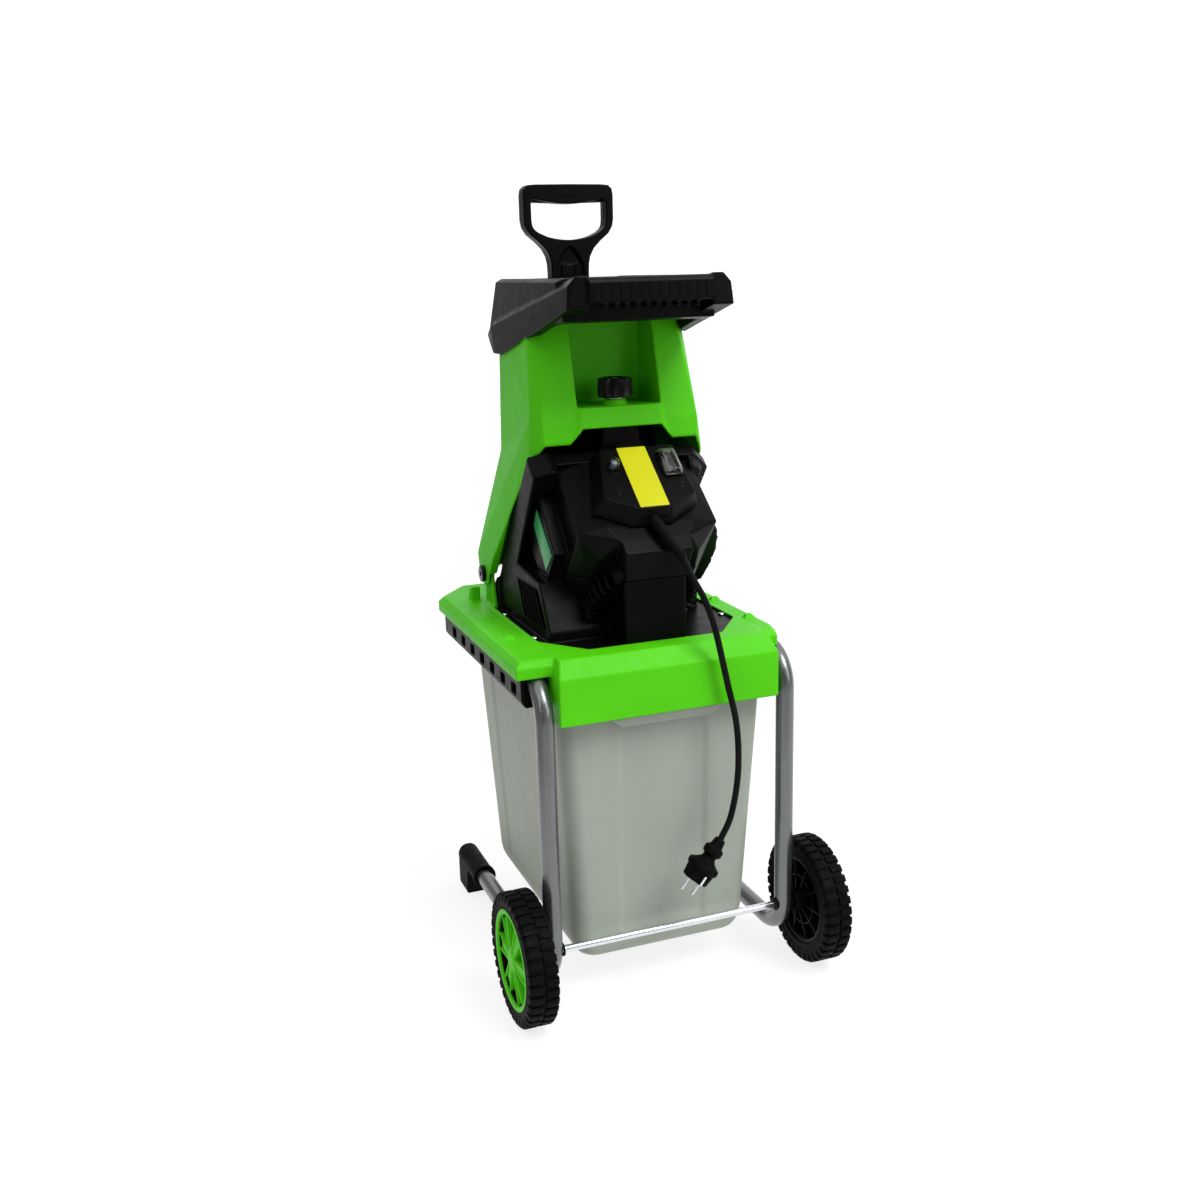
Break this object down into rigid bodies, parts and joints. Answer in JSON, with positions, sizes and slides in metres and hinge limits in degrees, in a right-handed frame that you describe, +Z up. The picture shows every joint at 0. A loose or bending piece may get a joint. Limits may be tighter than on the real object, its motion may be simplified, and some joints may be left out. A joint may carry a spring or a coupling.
{
  "type": "garden chipper",
  "caption": "Electric garden chipper on a two-wheeled tube frame, with tilting feed hopper, inclined cutter motor, plunger, power cord and slide-in collection box.",
  "frame": {"origin": "on the floor at the centre of the machine's box, without the cord and plug", "axes": "+X along the wheel axle, +Y from the motor side to the side with the feet, +Z up"},
  "size_m": [0.468, 0.583, 1.09],
  "materials": {
    "green_plastic": "moulded, light sheen",
    "black_plastic": "moulded, satin",
    "black_rubber": "moulded",
    "translucent_white": "moulded, milky",
    "silver_paint": "silver powder coat",
    "bright_zinc": "bright zinc plate",
    "tool_steel": "ground",
    "lamination_steel": "stacked sheet, lacquered",
    "commutator_copper": "turned copper",
    "yellow_film": "plain film, unprinted",
    "green_film": "plain film, unprinted",
    "clear_cover": "clear flexible cover",
    "nylon": "natural nylon"
  },
  "bodies": {
    "base": {"base_collar": "green_plastic", "frame_tube_left": "silver_paint", "frame_tube_right": "silver_paint", "foot_left": "black_rubber", "foot_right": "black_rubber", "wheel_axle": "bright_zinc", "push_nut_left": "tool_steel", "push_nut_right": "tool_steel", "side_rail_left": "black_plastic", "side_rail_right": "black_plastic", "cutter_housing": "black_plastic", "motor_cover": "black_plastic", "switch_box": "black_plastic", "label_plate": "yellow_film", "rating_plate": "green_film", "switch_frame": "black_plastic", "switch_boot": "clear_cover", "reset_nut": "bright_zinc", "motor_stator": "lamination_steel", "front_bearing": "tool_steel", "rear_bearing": "tool_steel", "hinge_pin_left": "black_plastic", "hinge_pin_right": "black_plastic", "deck_screw_1": "bright_zinc", "deck_screw_2": "bright_zinc", "deck_screw_3": "bright_zinc", "deck_screw_4": "bright_zinc", "strain_relief": "black_rubber", "power_cord": "black_rubber", "plug_body": "black_rubber", "plug_pin_1": "bright_zinc", "plug_pin_2": "bright_zinc"},
    "wheel_left": {"wheel_left": "black_rubber", "hub_cap_left": "green_plastic"},
    "wheel_right": {"wheel_right": "black_rubber", "hub_cap_right": "green_plastic"},
    "rotor": {"rotor_shaft": "tool_steel", "armature_core": "lamination_steel", "commutator": "commutator_copper", "cooling_fan": "nylon", "cutter_disc": "tool_steel", "knife_a": "tool_steel", "knife_b": "tool_steel", "knife_bolt_a1": "bright_zinc", "knife_bolt_a2": "bright_zinc", "knife_bolt_b1": "bright_zinc", "knife_bolt_b2": "bright_zinc", "disc_nut": "bright_zinc"},
    "hopper": {"hopper_shell": "green_plastic", "feed_funnel": "black_plastic", "feed_chute": "black_plastic"},
    "knob_carrier": {"knob_washer": "bright_zinc"},
    "knob": {"lock_knob": "black_plastic", "knob_bolt": "tool_steel"},
    "plunger": {"plunger_grip": "black_plastic", "plunger_paddle": "black_plastic"},
    "collection_box": {"collection_box": "translucent_white"},
    "box_lock": {"box_lock": "black_plastic"},
    "switch_rocker": {"switch_rocker": "black_plastic"},
    "reset_button": {"reset_button": "black_plastic"}
  },
  "joints": [
    {"name": "wheel_left_spin", "type": "hinge", "parent": "base", "child": "wheel_left", "pos_m": [-0.214, -0.2015, 0.09], "axis": [1, 0, 0], "continuous": true},
    {"name": "wheel_right_spin", "type": "hinge", "parent": "base", "child": "wheel_right", "pos_m": [0.214, -0.2015, 0.09], "axis": [1, 0, 0], "continuous": true},
    {"name": "rotor_spin", "type": "hinge", "parent": "base", "child": "rotor", "pos_m": [0, 0.0225, 0.647], "axis": [0, -0.7771, -0.6293], "continuous": true},
    {"name": "hopper_tilt", "type": "hinge", "parent": "base", "child": "hopper", "pos_m": [0, 0.1335, 0.537], "axis": [-1, 0, 0], "range_deg": [0, 60]},
    {"name": "knob_lift", "type": "slide", "parent": "hopper", "child": "knob_carrier", "axis": [0, 0, 1], "range_m": [0, 0.0121]},
    {"name": "knob_turn", "type": "hinge", "parent": "knob_carrier", "child": "knob", "pos_m": [0, -0.0325, 0.815], "axis": [0, 0, 1], "range_deg": [0, 2160]},
    {"name": "plunger_slide", "type": "slide", "parent": "hopper", "child": "plunger", "axis": [0, 0, 1], "range_m": [0, 0.13]},
    {"name": "box_slide", "type": "slide", "parent": "base", "child": "collection_box", "axis": [0, 1, 0], "range_m": [0, 0.38]},
    {"name": "box_lock_slide", "type": "slide", "parent": "base", "child": "box_lock", "axis": [0, 0, -1], "range_m": [0, 0.009]},
    {"name": "switch_rock", "type": "hinge", "parent": "base", "child": "switch_rocker", "pos_m": [0.044, -0.10909, 0.71416], "axis": [-1, 0, 0], "range_deg": [0, 16]},
    {"name": "reset_press", "type": "slide", "parent": "base", "child": "reset_button", "axis": [0, 0.6293, -0.7771], "range_m": [0, 0.003], "stiffness_N_per_m": 400}
  ],
  "couplings": [
    {"joint": "knob_lift", "follows": "knob_turn", "m_per_rad": 0.00031831}
  ]
}
